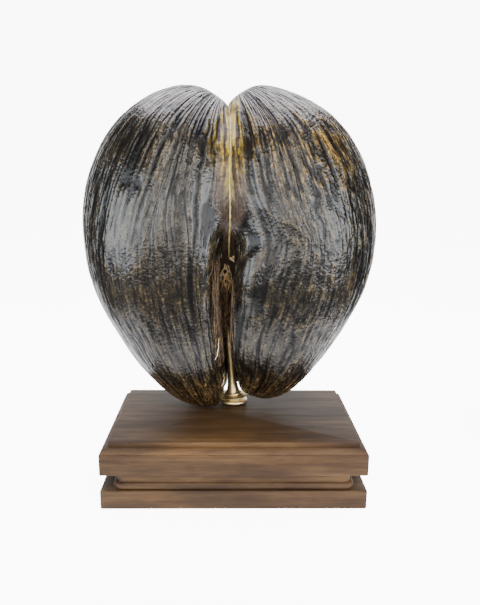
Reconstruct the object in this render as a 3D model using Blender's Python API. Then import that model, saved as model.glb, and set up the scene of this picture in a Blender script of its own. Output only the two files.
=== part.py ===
"""Coco de mer nut held on a turned brass stem above a stepped wooden plinth."""
import math

import bmesh
import bpy
import numpy as np
from mathutils import Vector

MM = 0.001

# Gap kept between pieces that rest on each other
FIT_GAP = 0.0003

# Plinth: three stacked boards, the stem stands behind the middle
PLINTH_WIDTH = 0.220
PLINTH_DEPTH = 0.133
BOTTOM_BOARD_HEIGHT = 0.0162
NECK_BOARD_HEIGHT = 0.0134
TOP_FACE_HEIGHT = 0.0183
OVOLO_HEIGHT = 0.0047
PANEL_STEP_HEIGHT = 0.0038
PANEL_INSET = 0.0067
NECK_INSET_SIDE = 0.0105
NECK_INSET_FRONT = 0.0012
NECK_COVE = 0.0026
NECK_BEAD_HEIGHT = 0.0062
NECK_BEAD_FLATNESS = 0.8
NECK_QUIRK = 0.0006
NECK_CORNER_RADIUS = 0.007
BOARD_EASE = 0.0007
BOARD_CORNER_RADIUS = 0.0012
PANEL_TOP = (BOTTOM_BOARD_HEIGHT + NECK_BOARD_HEIGHT + TOP_FACE_HEIGHT
             + OVOLO_HEIGHT + PANEL_STEP_HEIGHT)

# Stem and its fixing: heights run up the leaning stem from the panel
STEM_X = 0.0003
STEM_Y = 0.0284
STEM_LEAN = math.radians(4.8)
STEM_TOP = 0.1128
STEM_SOCKET_RADIUS = 0.0049
STEM_SOCKET_DEPTH = 0.050
STEM_FOOT_RADIUS = 0.0076
STEM_SHAFT_RADIUS = 0.0046
TURNED_SIDES = 28
BEAD_SEAT_RADIUS = 0.00825
BEAD_CENTRE_RADIUS = 0.0112
BEAD_HEIGHT = 0.0031
BEAD_LAND = 0.0002
ROD_RADIUS = 0.0020
ROD_HOLE_RADIUS = 0.0024
ROD_TOP = 0.0240
COUNTERBORE_RADIUS = 0.0100
COUNTERBORE_TOP = 0.0470
WASHER_RADIUS = 0.0078
WASHER_THICKNESS = 0.0012
HEX_NUT_FLATS = 0.0070
HEX_NUT_HEIGHT = 0.0032

# Nut: the plane between its lobes and the plane halfway through it
NUT_MEDIAN_X = -0.005
NUT_MIDDLE_Y = 0.024
RIDGES_AROUND = 48
ROWS_ALONG = 24
ROW_CROWDING = 0.55
RIDGE_HEIGHT = 0.0024
RIDGE_STRENGTH = 0.75
RIDGE_VARIATION = 0.45
RIDGE_NEAR_MEDIAN = 0.15
SWELL_HEIGHT = 0.0011
SHARPEST_EDGE = 22
OUTER_SQUARENESS = 2.12

# Lobe stations in millimetres from the top pole beside the notch to the tip:
# outer edge (x out from the median, z), inner edge (x, z), half thickness
LEFT_LOBE = (
    ((12, 334.5), (12, 334.5), 0),
    ((30, 342), (1, 325), 27),
    ((61, 336.5), (-8, 307), 54),
    ((92, 315.5), (-15, 285), 72),
    ((112.5, 286), (-18, 263), 82),
    ((124.3, 250), (-13, 243), 87),
    ((126.5, 213), (1.5, 220), 88),
    ((120.3, 177), (7.4, 192), 86),
    ((106, 144), (7.2, 158), 79),
    ((86.5, 111), (4.8, 121), 67),
    ((63.5, 82.5), (3.4, 90), 49),
    ((42, 63.5), (6.6, 66), 25),
    ((18.5, 57.2), (18.5, 57.2), 0),
)
RIGHT_LOBE = (
    ((12, 338.5), (12, 338.5), 0),
    ((29, 343.3), (-1, 328), 27),
    ((61, 334.5), (-9, 308), 54),
    ((91, 315.5), (-15, 285), 72),
    ((112.5, 286), (-18, 263), 82),
    ((124.3, 251), (-13, 243), 87),
    ((126.5, 214), (2, 221), 88),
    ((120, 176), (6.5, 193), 86),
    ((106, 143.5), (6, 160), 79),
    ((86, 111), (7, 128), 67),
    ((64.5, 83.5), (9.2, 99), 49),
    ((45, 68), (10.8, 78), 25),
    ((27, 65.2), (27, 65.2), 0),
)
# How square the inner faces are beside the furrow and beside the opening, and
# the heights in millimetres between which one turns into the other
LEFT_INNER_SQUARENESS = (2.6, 5.5, 205.0, 252.0)
RIGHT_INNER_SQUARENESS = (2.6, 4.6, 185.0, 228.0)

# Behind the stem the inner faces close in, in millimetres: middle of the closed
# stretch through the nut, its half length, the gap left beside the median plane,
# and the heights between which it starts
CLOSED_MIDDLE = 32.0
CLOSED_HALF_LENGTH = 17.0
CLOSED_GAP = 1.2
CLOSED_START = (58.0, 70.0)

# Front fold beside the opening in millimetres: edge x and z at its upper end,
# edge x and z where it turns down, lower end z, rise, half width
LEFT_FOLD = (13.5, 236, 13.0, 190, 112, 1.6, 4.5)
RIGHT_FOLD = (18.5, 240, 8.0, 192, 118, 3.0, 7.0)
FOLD_HOLLOW_DEPTH = 0.0016

# Floor between the lobes in millimetres: z, half width, front depth, back depth
BRIDGE = (
    (326, 0, 0, 0),
    (321, 9, 25, 25),
    (305, 17, 53, 53),
    (281, 23, 71, 71),
    (257, 26, 78, 77),
    (236, 27, 75, 72),
    (220, 26, 63, 61),
    (205, 24, 49, 48),
    (190, 21, 37, 37),
    (176, 18, 27, 26),
    (164, 15, 17, 17),
    (156, 0, 0, 0),
)
BRIDGE_SQUARENESS = 3.4

# Raised seam down the furrow: its heights in millimetres, radius and sink
SEAM_HEIGHTS = (322, 312, 300, 284, 268, 250, 236, 224, 212, 201)
SEAM_RADIUS = 0.0016
SEAM_SINK = 0.0004

# Fibre pad at the opening, with its row heights in millimetres
PAD_X = -0.0020
PAD_HEIGHTS = (197, 192, 187, 182, 177, 172, 167)
PAD_COLUMNS = 7
PAD_HALF_WIDTH = 0.0034
PAD_RISE = 0.0038
PAD_SINK = 0.0006
STRANDS = 6
STRAND_TOP_Z = 0.170
STRANDS_WIDTH = 0.0066


def clear_scene():
    for item in list(bpy.data.objects):
        bpy.data.objects.remove(item, do_unlink=True)


def make_material(name, colour, roughness, metallic=0.0):
    material = bpy.data.materials.new(name)
    material.use_nodes = True
    shader = material.node_tree.nodes["Principled BSDF"]
    shader.inputs["Base Color"].default_value = (*colour, 1.0)
    shader.inputs["Roughness"].default_value = roughness
    shader.inputs["Metallic"].default_value = metallic
    return material


def make_object(name, points, faces, material):
    mesh = bpy.data.meshes.new(name)
    mesh.from_pydata([tuple(map(float, point)) for point in points], [], faces)
    mesh.validate()
    work = bmesh.new()
    work.from_mesh(mesh)
    bmesh.ops.recalc_face_normals(work, faces=work.faces)
    work.to_mesh(mesh)
    work.free()
    mesh.materials.append(material)
    item = bpy.data.objects.new(name, mesh)
    bpy.context.scene.collection.objects.link(item)
    return item


def shade_round(item, degrees=35):
    item.data.shade_smooth()
    item.data.set_sharp_from_angle(angle=math.radians(degrees))


def spline(values, at):
    """Natural cubic spline through values at 0, 1, 2 and so on."""
    values = np.asarray(values, dtype=float)
    count = len(values)
    system = np.eye(count)
    right = np.zeros(count)
    for row in range(1, count - 1):
        system[row, row - 1:row + 2] = (1.0, 4.0, 1.0)
        right[row] = 6.0 * (values[row + 1] - 2.0 * values[row] + values[row - 1])
    second = np.linalg.solve(system, right)
    low = np.clip(np.floor(at).astype(int), 0, count - 2)
    part = at - low
    rest = 1.0 - part
    bend = (rest ** 3 - rest) * second[low] + (part ** 3 - part) * second[low + 1]
    return rest * values[low] + part * values[low + 1] + bend / 6.0


def spline_between_poles(own, other, at, sign=1.0):
    """Spline that runs on through both poles onto the other edge."""
    run = [sign * other[1], *own, sign * other[-2]]
    return spline(run, np.asarray(at) + 1.0)


def ring_shape(angles, inner, outer):
    """Unit outline, rounder on the outer side and squarer on the inner side."""
    power = np.where(np.cos(angles) >= 0.0, outer, inner)
    across = np.sign(np.cos(angles)) * np.abs(np.cos(angles)) ** (2.0 / power)
    deep = np.sign(np.sin(angles)) * np.abs(np.sin(angles)) ** (2.0 / power)
    return across, deep


def even_angles(count, half_across, half_deep, inner, outer):
    """Angles that space the points of a ring evenly along its outline."""
    fine = np.linspace(0.0, 2.0 * math.pi, 2881)
    across, deep = ring_shape(fine, inner, outer)
    steps = np.hypot(np.diff(across) * half_across, np.diff(deep) * half_deep)
    run = np.concatenate(([0.0], np.cumsum(steps)))
    wanted = np.arange(count) / count * run[-1]
    return np.interp(wanted, run, fine)


def waves(around, along, seed, pairs):
    """Smooth irregular value from minus one to one over a closed ring."""
    chance = np.random.default_rng(seed)
    total = np.zeros(np.broadcast(around, along).shape)
    for turns, climb in pairs:
        phase = chance.uniform(0.0, 2.0 * math.pi)
        total = total + np.sin(turns * around + climb * along + phase)
    return total / len(pairs)


def loft_faces(rows, around):
    """Faces for a first pole, rows of rings and a last pole."""
    faces = []
    last = 1 + rows * around
    for step in range(around):
        following = (step + 1) % around
        faces.append((0, 1 + step, 1 + following))
        for row in range(rows - 1):
            base = 1 + row * around
            lower = base + around
            faces.append((base + step, lower + step, lower + following, base + following))
        base = 1 + (rows - 1) * around
        faces.append((base + step, last, base + following))
    return faces


def surface_normals(grid):
    """Outward normals on a grid of rings, by differences."""
    around = np.roll(grid, -1, axis=1) - np.roll(grid, 1, axis=1)
    along = np.gradient(grid, axis=0)
    normals = np.cross(around, along)
    normals /= np.linalg.norm(normals, axis=2, keepdims=True) + 1e-12
    centre = grid.mean(axis=1, keepdims=True)
    facing = np.sum(normals * (grid - centre), axis=2).mean()
    return normals if facing > 0.0 else -normals


def smooth_step(value, low, high):
    part = np.clip((value - low) / (high - low), 0.0, 1.0)
    return part * part * (3.0 - 2.0 * part)


def lobe_points(stations, squareness, fold, seed):
    """Ridged lobe, x out from the median plane, both poles included."""
    last = len(stations) - 1
    at = last * (0.5 - 0.5 * np.cos(np.linspace(0.0, math.pi, ROWS_ALONG + 2)))
    at = ROW_CROWDING * at + (1.0 - ROW_CROWDING) * np.linspace(0.0, last, ROWS_ALONG + 2)
    outer_edge = [station[0] for station in stations]
    inner_edge = [station[1] for station in stations]
    depths = [station[2] for station in stations]
    edges = []
    for own, other in ((outer_edge, inner_edge), (inner_edge, outer_edge)):
        for axis in (0, 1):
            own_values = [point[axis] for point in own]
            other_values = [point[axis] for point in other]
            edges.append(spline_between_poles(own_values, other_values, at))
    outer_x, outer_z, inner_x, inner_z = edges
    deep = spline_between_poles(depths, depths, at, sign=-1.0)

    count = 2 * RIDGES_AROUND
    widest = int(np.argmax(deep))
    half_across = (outer_x[widest] - inner_x[widest]) / 2.0
    beside_furrow, beside_opening, opening_z, furrow_z = squareness
    above = smooth_step(inner_z, opening_z, furrow_z)
    inner_power = (beside_opening + (beside_furrow - beside_opening) * above)[:, None]
    angles = even_angles(count, half_across, deep[widest], beside_opening, OUTER_SQUARENESS)
    across, through = ring_shape(angles[None, :], inner_power, OUTER_SQUARENESS)
    middle_x = (outer_x + inner_x) / 2.0
    middle_z = (outer_z + inner_z) / 2.0
    half_x = (outer_x - inner_x) / 2.0
    half_z = (outer_z - inner_z) / 2.0
    grid = np.empty((len(at), count, 3))
    grid[:, :, 0] = middle_x[:, None] + half_x[:, None] * across
    grid[:, :, 1] = deep[:, None] * through
    grid[:, :, 2] = middle_z[:, None] + half_z[:, None] * across

    behind = np.exp(-((grid[:, :, 1] - CLOSED_MIDDLE) / CLOSED_HALF_LENGTH) ** 4)
    behind = behind * smooth_step(-across, 0.3, 0.7)
    behind = behind * smooth_step(grid[:, :, 2], *CLOSED_START)
    reach = np.maximum(grid[:, :, 0] - CLOSED_GAP, 0.0)
    grid[:, :, 0] -= reach * behind
    grid *= MM

    normals = surface_normals(grid)
    turn = angles[None, :]
    climb = at[:, None]
    ridge = np.where(np.arange(count) % 2 == 0, 0.5, -0.5)[None, :]
    varied = waves(turn, climb, seed, ((3, 1.1), (7, -1.7), (13, 0.9), (5, 2.3)))
    strength = RIDGE_STRENGTH + RIDGE_VARIATION * varied
    swell = waves(turn, climb, seed + 1, ((2, 0.8), (3, -1.2), (5, 0.5)))
    size = smooth_step(deep, 6.0, 40.0)[:, None]
    off_median = smooth_step(grid[:, :, 0], 0.008, 0.026)
    fade = RIDGE_NEAR_MEDIAN + (1.0 - RIDGE_NEAR_MEDIAN) * off_median
    relief = RIDGE_HEIGHT * ridge * strength * size * fade
    relief = relief + SWELL_HEIGHT * swell * size * off_median

    # Raised fold on the front edge beside the opening
    high_x, high_z, low_x, turn_z, low_z, rise, width = (value * MM for value in fold)
    part = np.clip((grid[:, :, 2] - turn_z) / (high_z - turn_z), 0.0, 1.3)
    edge_x = low_x + (high_x - low_x) * part
    front = smooth_step(-normals[:, :, 1], 0.1, 0.6)
    window = smooth_step(grid[:, :, 2], low_z - 0.012, low_z + 0.025)
    window = window * (1.0 - smooth_step(grid[:, :, 2], high_z - 0.014, high_z + 0.012))
    crest = np.exp(-((grid[:, :, 0] - edge_x - 1.1 * width) / width) ** 2)
    hollow = np.exp(-((grid[:, :, 0] - edge_x + 0.004) / 0.005) ** 2)
    relief = relief + front * window * (rise * crest - FOLD_HOLLOW_DEPTH * hollow)

    grid = grid + normals * relief[:, :, None]
    points = [grid[0].mean(axis=0)]
    points += [point for row in grid[1:-1] for point in row]
    points.append(grid[-1].mean(axis=0))
    return np.array(points), loft_faces(ROWS_ALONG, count)


def bridge_points(around=30, rows=18):
    """Floor of the furrow and the web that joins the lobes."""
    last = len(BRIDGE) - 1
    at = np.linspace(0.0, last, rows + 2)[1:-1]
    height = spline([station[0] for station in BRIDGE], at)
    wide = spline([station[1] for station in BRIDGE], at)
    front = spline([station[2] for station in BRIDGE], at)
    back = spline([station[3] for station in BRIDGE], at)
    angles = (np.arange(around) + 0.5) * 2.0 * math.pi / around
    across, through = ring_shape(angles, BRIDGE_SQUARENESS, BRIDGE_SQUARENESS)
    points = [(0.0, 0.0, BRIDGE[0][0] * MM)]
    for row in range(rows):
        for x_part, y_part in zip(across, through):
            depth = back[row] if y_part > 0.0 else front[row]
            points.append((wide[row] * x_part * MM, depth * y_part * MM, height[row] * MM))
    points.append((0.0, 0.0, BRIDGE[-1][0] * MM))
    return np.array(points), loft_faces(rows, around)


def front_of_bridge(height_mm):
    """Half width and front depth of the floor at a height, in metres."""
    levels = np.array([station[0] for station in BRIDGE], dtype=float)
    last = len(levels) - 1
    fine = np.linspace(0.0, last, 1200)
    heights = spline(levels, fine)
    place = np.interp(height_mm, heights[::-1], fine[::-1])
    wide = spline([station[1] for station in BRIDGE], np.array([place]))[0]
    deep = spline([station[2] for station in BRIDGE], np.array([place]))[0]
    return wide * MM, deep * MM


def tube_points(path, radii, sides):
    """Tapered round strand along a path, with both ends closed."""
    path = [Vector(point) for point in path]
    points = []
    for index, centre in enumerate(path):
        before = path[max(index - 1, 0)]
        after = path[min(index + 1, len(path) - 1)]
        along = (after - before).normalized()
        first = along.cross(Vector((0.31, 0.93, 0.17))).normalized()
        second = along.cross(first)
        for side in range(sides):
            angle = 2.0 * math.pi * side / sides
            offset = first * math.cos(angle) + second * math.sin(angle)
            points.append(centre + offset * radii[index])
    faces = [tuple(range(sides))]
    for row in range(len(path) - 1):
        for side in range(sides):
            following = (side + 1) % sides
            base = row * sides
            faces.append((base + side, base + following,
                          base + sides + following, base + sides + side))
    end = (len(path) - 1) * sides
    faces.append(tuple(end + side for side in reversed(range(sides))))
    return points, faces


def circle_points(radius, height, sides):
    points = []
    for side in range(sides):
        angle = 2.0 * math.pi * side / sides
        points.append((radius * math.cos(angle), radius * math.sin(angle), height))
    return points


def band_faces(rows, sides, closed):
    """Faces between stacked rings, and from the last to the first if closed."""
    faces = []
    for row in range(rows if closed else rows - 1):
        base = row * sides
        lower = ((row + 1) % rows) * sides
        for side in range(sides):
            following = (side + 1) % sides
            faces.append((base + side, base + following, lower + following, lower + side))
    return faces


def turned_object(name, profile, sides, material, leaning=True):
    """Turned piece: a profile that ends on the axis has a pole at each end."""
    poles = profile[0][0] == 0.0
    points = []
    for radius, height in profile[1:-1] if poles else profile:
        points += circle_points(radius, height, sides)
    if poles:
        points = [(0.0, 0.0, profile[0][1])] + points + [(0.0, 0.0, profile[-1][1])]
        faces = loft_faces(len(profile) - 2, sides)
    else:
        faces = band_faces(len(profile), sides, True)
    item = make_object(name, points, faces, material)
    item.location = (STEM_X, STEM_Y, PANEL_TOP)
    if leaning:
        item.rotation_euler = (0.0, -STEM_LEAN, 0.0)
    shade_round(item)
    return item


def board_points(levels, corner_radius, corner_steps):
    """Board from stacked outlines of inset across, inset in depth, height."""
    points = []
    for inset_x, inset_y, height in levels:
        half_x = PLINTH_WIDTH / 2.0 - inset_x
        half_y = PLINTH_DEPTH / 2.0 - inset_y
        for quarter, (sign_x, sign_y) in enumerate(((1, 1), (-1, 1), (-1, -1), (1, -1))):
            centre_x = sign_x * (half_x - corner_radius)
            centre_y = sign_y * (half_y - corner_radius)
            for step in range(corner_steps + 1):
                angle = (quarter + step / corner_steps) * math.pi / 2.0
                points.append((centre_x + corner_radius * math.cos(angle),
                               centre_y + corner_radius * math.sin(angle), height))
    around = 4 * (corner_steps + 1)
    faces = [tuple(reversed(range(around)))]
    for row in range(len(levels) - 1):
        base = row * around
        for step in range(around):
            following = (step + 1) % around
            faces.append((base + step, base + following,
                          base + around + following, base + around + step))
    top = (len(levels) - 1) * around
    faces.append(tuple(top + step for step in range(around)))
    return points, faces


def along_stem(height):
    """Point on the leaning axis at a height measured along it."""
    return Vector((STEM_X - height * math.sin(STEM_LEAN), STEM_Y,
                   PANEL_TOP + height * math.cos(STEM_LEAN)))


def cut_round_hole(item, radius, low, high, sides=32):
    """Cut a round hole along the leaning axis from one height to another."""
    points, faces = tube_points((along_stem(low), along_stem(high)), (radius, radius), sides)
    cutter = make_object(item.name + "_hole", points, faces, item.data.materials[0])
    cutter.hide_render = True
    cutter.display_type = "WIRE"
    modifier = item.modifiers.new("hole", "BOOLEAN")
    modifier.operation = "DIFFERENCE"
    modifier.solver = "EXACT"
    modifier.object = cutter
    apply_modifiers(item)
    bpy.data.objects.remove(cutter, do_unlink=True)


def apply_modifiers(item):
    bpy.context.view_layer.update()
    graph = bpy.context.evaluated_depsgraph_get()
    mesh = bpy.data.meshes.new_from_object(item.evaluated_get(graph))
    item.modifiers.clear()
    item.data = mesh


def join_by_union(item, others, name):
    """Join the other solids to one solid with a single union."""
    group = bpy.data.collections.new(name)
    bpy.context.scene.collection.children.link(group)
    for other in others:
        bpy.context.scene.collection.objects.unlink(other)
        group.objects.link(other)
    modifier = item.modifiers.new("join", "BOOLEAN")
    modifier.operation = "UNION"
    modifier.solver = "EXACT"
    modifier.operand_type = "COLLECTION"
    modifier.collection = group
    apply_modifiers(item)
    for other in others:
        bpy.data.objects.remove(other, do_unlink=True)
    bpy.data.collections.remove(group)


def make_nut(material):
    """Both lobes, the web between them and the raised seam as one solid."""
    origin = np.array((NUT_MEDIAN_X, NUT_MIDDLE_Y, 0.0))
    lobes = []
    for name, side, seed, stations, squareness, fold in (
            ("coco_nut", 1, 21, RIGHT_LOBE, RIGHT_INNER_SQUARENESS, RIGHT_FOLD),
            ("left_lobe", -1, 47, LEFT_LOBE, LEFT_INNER_SQUARENESS, LEFT_FOLD)):
        points, faces = lobe_points(stations, squareness, fold, seed)
        points[:, 0] *= side
        lobes.append(make_object(name, points + origin, faces, material))
    points, faces = bridge_points()
    web = make_object("web", points + origin, faces, material)

    seam_path = []
    for height in SEAM_HEIGHTS:
        deep = front_of_bridge(height)[1]
        seam_path.append(origin + np.array((0.0, SEAM_SINK - deep, height * MM)))
    seam_radii = [SEAM_RADIUS] * len(seam_path)
    points, faces = tube_points(seam_path, seam_radii, 6)
    seam = make_object("seam", points, faces, material)

    nut = lobes[0]
    join_by_union(nut, [lobes[1], web, seam], "nut_parts")
    socket_low = STEM_TOP - STEM_SOCKET_DEPTH
    cut_round_hole(nut, STEM_SOCKET_RADIUS, socket_low, STEM_TOP + FIT_GAP, 24)
    shade_round(nut, SHARPEST_EDGE)
    return nut


def make_fibres(material):
    """Pad of dry fibres at the opening with loose strands below it."""
    chance = np.random.default_rng(5)
    origin = np.array((NUT_MEDIAN_X + PAD_X, NUT_MIDDLE_Y, 0.0))
    columns = PAD_COLUMNS
    middle_row = len(PAD_HEIGHTS) // 2
    outer = []
    inner = []
    for row, height in enumerate(PAD_HEIGHTS):
        wide, deep = front_of_bridge(height)
        for column in range(columns):
            across = (column / (columns - 1) - 0.5) * 2.0
            x = across * (PAD_HALF_WIDTH + 0.0008 * math.sin(row * 1.9))
            shape = 1.0 - abs((x + PAD_X) / wide) ** BRIDGE_SQUARENESS
            curve = shape ** (1.0 / BRIDGE_SQUARENESS)
            floor = -deep * curve
            bump = 0.0007 * ((row + column) % 2) + chance.uniform(0.0, 0.0006)
            crown = 0.0011 * abs(across) + 0.0002 * abs(row - middle_row)
            rise = PAD_RISE - crown + bump
            outer.append(origin + np.array((x, floor - rise, height * MM)))
            inner.append(origin + np.array((x, floor - PAD_SINK, height * MM)))
    count = len(outer)
    points = outer + inner
    faces = []
    rows = len(PAD_HEIGHTS)
    for row in range(rows - 1):
        for column in range(columns - 1):
            a = row * columns + column
            faces.append((a, a + 1, a + 1 + columns, a + columns))
            b = a + count
            faces.append((b, b + columns, b + 1 + columns, b + 1))
    edge = [column for column in range(columns)]
    edge += [row * columns + columns - 1 for row in range(1, rows)]
    edge += [(rows - 1) * columns + column for column in range(columns - 2, -1, -1)]
    edge += [row * columns for row in range(rows - 2, 0, -1)]
    for step, corner in enumerate(edge):
        following = edge[(step + 1) % len(edge)]
        faces.append((corner, corner + count, following + count, following))
    pad = make_object("germ_fibres", points, faces, material)

    strands = []
    start_y = origin[1] - front_of_bridge(169)[1] - 0.0026
    for index in range(STRANDS):
        share = index / (STRANDS - 1) - 0.5
        x = origin[0] + STRANDS_WIDTH * share
        drift = chance.uniform(-0.0022, 0.0022)
        length = 0.020 + chance.uniform(0.0, 0.016)
        path = []
        for step in range(5):
            part = step / 4.0
            path.append((x + drift * part * part,
                         start_y + 0.0045 * part * (1.0 - part) - 0.0010 * part,
                         STRAND_TOP_Z - length * part))
        radii = [0.0007, 0.0008, 0.0007, 0.0006, 0.0004]
        strand_points, strand_faces = tube_points(path, radii, 5)
        strands.append(make_object("strand_%d" % index, strand_points, strand_faces, material))
    join_by_union(pad, strands, "fibre_parts")
    shade_round(pad, 40)
    return pad


def make_plinth(material):
    """Three stacked boards with moulded edges, bored along the stem for the rod."""
    bottom_top = BOTTOM_BOARD_HEIGHT
    neck_low = bottom_top + FIT_GAP
    neck_top = bottom_top + NECK_BOARD_HEIGHT
    top_low = neck_top + FIT_GAP
    face_top = neck_top + TOP_FACE_HEIGHT
    ovolo_top = face_top + OVOLO_HEIGHT
    panel_top = ovolo_top + PANEL_STEP_HEIGHT

    ease = BOARD_EASE
    levels = [(ease, ease, 0.0), (0.0, 0.0, ease),
              (0.0, 0.0, bottom_top - ease), (ease, ease, bottom_top)]
    points, faces = board_points(levels, BOARD_CORNER_RADIUS, 2)
    bottom = make_object("plinth_bottom", points, faces, material)

    side = NECK_INSET_SIDE
    front = NECK_INSET_FRONT
    bead_radius = NECK_BEAD_HEIGHT / 2.0
    levels = []
    for step in range(7):
        angle = -math.pi / 2.0 + math.pi * step / 6.0
        back = bead_radius * (1.0 - math.cos(angle)) * NECK_BEAD_FLATNESS
        height = neck_low + bead_radius + bead_radius * math.sin(angle)
        levels.append((side + back, front + back, height))
    bead_top = neck_low + NECK_BEAD_HEIGHT
    levels.append((side + NECK_COVE, front + NECK_COVE, bead_top + NECK_QUIRK))
    levels.append((side + NECK_COVE, front + NECK_COVE, neck_top))
    points, faces = board_points(levels, NECK_CORNER_RADIUS, 5)
    neck = make_object("plinth_neck", points, faces, material)

    levels = [(ease, ease, top_low), (0.0, 0.0, top_low + ease),
              (0.0, 0.0, face_top - ease), (ease, ease, face_top)]
    reach = PANEL_INSET - ease
    for step in range(1, 6):
        angle = math.pi / 2.0 * step / 5.0
        inset = ease + reach * (1.0 - math.cos(angle))
        height = face_top + OVOLO_HEIGHT * math.sin(angle)
        levels.append((inset, inset, height))
    levels.append((PANEL_INSET, PANEL_INSET, panel_top - ease / 2.0))
    levels.append((PANEL_INSET + ease / 2.0, PANEL_INSET + ease / 2.0, panel_top))
    points, faces = board_points(levels, BOARD_CORNER_RADIUS, 2)
    top = make_object("plinth_top", points, faces, material)

    for board in (bottom, neck, top):
        cut_round_hole(board, ROD_HOLE_RADIUS, -0.080, 0.010)
    cut_round_hole(bottom, COUNTERBORE_RADIUS, -0.080, -COUNTERBORE_TOP)


def make_brass(material):
    """Bead that stands on the wood and the leaning turned stem above it."""
    foot = FIT_GAP
    bead_low = foot + 0.0005
    bead_half = BEAD_HEIGHT / 2.0
    bead_high = bead_low + BEAD_HEIGHT
    ring_top = bead_high + BEAD_LAND
    bore = ROD_RADIUS + 0.0007
    profile = [(bore, foot), (BEAD_SEAT_RADIUS, foot), (BEAD_SEAT_RADIUS, bead_low)]
    for step in range(9):
        angle = -math.pi / 2.0 + math.pi * step / 8.0
        profile.append((BEAD_CENTRE_RADIUS + bead_half * math.cos(angle),
                        bead_low + bead_half + bead_half * math.sin(angle)))
    profile.append((BEAD_SEAT_RADIUS, bead_high))
    profile.append((BEAD_SEAT_RADIUS, ring_top))
    profile.append((bore, ring_top))
    turned_object("brass_ring", profile, TURNED_SIDES, material, leaning=False)

    # The leaning underside clears the level bead on its lower side
    low = ring_top + FIT_GAP + STEM_FOOT_RADIUS * math.sin(STEM_LEAN)
    outline = (
        (7.6, 0.0), (7.6, 0.6), (9.6, 0.9), (12.4, 1.4), (13.0, 1.9), (12.7, 2.4),
        (10.6, 2.8), (8.6, 3.4), (7.5, 4.1), (7.9, 4.6), (7.7, 5.2), (6.9, 5.7),
        (6.1, 7.4), (5.5, 9.6), (4.9, 12.6), (4.4, 16.4), (4.05, 21.0), (3.95, 27.0),
        (4.0, 34.0), (4.25, 43.0), (4.5, 54.0), (4.6, 66.0),
    )
    bore = ROD_RADIUS + FIT_GAP
    bore_top = ROD_TOP + 0.001
    profile = [(0.0, bore_top), (bore, bore_top), (bore, low)]
    profile += [(radius * MM, low + height * MM) for radius, height in outline]
    edge = 0.0004
    profile.append((STEM_SHAFT_RADIUS, STEM_TOP - edge))
    profile.append((STEM_SHAFT_RADIUS - edge, STEM_TOP))
    profile.append((0.0, STEM_TOP))
    turned_object("brass_stem", profile, TURNED_SIDES, material)


def make_fixing(material):
    """Rod in the foot of the stem, with the washer and six-sided nut below."""
    washer_top = -COUNTERBORE_TOP - FIT_GAP
    washer_low = washer_top - WASHER_THICKNESS
    nut_top = washer_low - FIT_GAP
    nut_low = nut_top - HEX_NUT_HEIGHT
    rod_low = nut_low - 0.0012
    hole = ROD_RADIUS + FIT_GAP

    profile = [(0.0, rod_low), (ROD_RADIUS - 0.0006, rod_low)]
    turns = 8
    pitch = 0.0007
    for turn in range(turns):
        height = rod_low + 0.0003 + pitch * turn
        profile.append((ROD_RADIUS - 0.0004, height + pitch * 0.1))
        profile.append((ROD_RADIUS, height + pitch * 0.5))
    profile.append((ROD_RADIUS - 0.0002, rod_low + 0.0003 + pitch * turns))
    profile.append((ROD_RADIUS - 0.0002, ROD_TOP - 0.0005))
    profile.append((ROD_RADIUS - 0.0007, ROD_TOP))
    profile.append((0.0, ROD_TOP))
    turned_object("threaded_rod", profile, 12, material)

    ease = 0.0002
    profile = [(hole, washer_low), (WASHER_RADIUS - ease, washer_low),
               (WASHER_RADIUS, washer_low + ease), (WASHER_RADIUS, washer_top - ease),
               (WASHER_RADIUS - ease, washer_top), (hole, washer_top)]
    turned_object("fixing_washer", profile, 24, material)

    half_flats = HEX_NUT_FLATS / 2.0
    corner = half_flats / math.cos(math.pi / 6.0)
    sides = 24
    points = circle_points(hole, nut_low, sides)
    for height, trim in ((nut_low, 0.0004), (nut_low + 0.0004, 0.0),
                         (nut_top - 0.0004, 0.0), (nut_top, 0.0004)):
        for side in range(sides):
            angle = 2.0 * math.pi * side / sides
            from_flat = (angle % (math.pi / 3.0)) - math.pi / 6.0
            reach = min(half_flats / math.cos(from_flat), corner - trim)
            points.append((reach * math.cos(angle), reach * math.sin(angle), height))
    points += circle_points(hole, nut_top, sides)
    nut = make_object("fixing_nut", points, band_faces(6, sides, True), material)
    nut.location = (STEM_X, STEM_Y, PANEL_TOP)
    nut.rotation_euler = (0.0, -STEM_LEAN, 0.0)


clear_scene()
shell = make_material("nut_shell", (0.060, 0.035, 0.020), 0.28)
fibre = make_material("dry_fibre", (0.330, 0.150, 0.055), 0.85)
brass = make_material("polished_brass", (0.800, 0.560, 0.220), 0.16, 1.0)
wood = make_material("stained_wood", (0.190, 0.105, 0.055), 0.42)
steel = make_material("plain_steel", (0.480, 0.480, 0.500), 0.34, 1.0)
make_plinth(wood)
make_brass(brass)
make_fixing(steel)
make_nut(shell)
make_fibres(fibre)
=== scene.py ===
from math import cos, hypot, pi, radians, sin

import bmesh
import bpy
import numpy as np
from mathutils import Matrix, Vector


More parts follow.
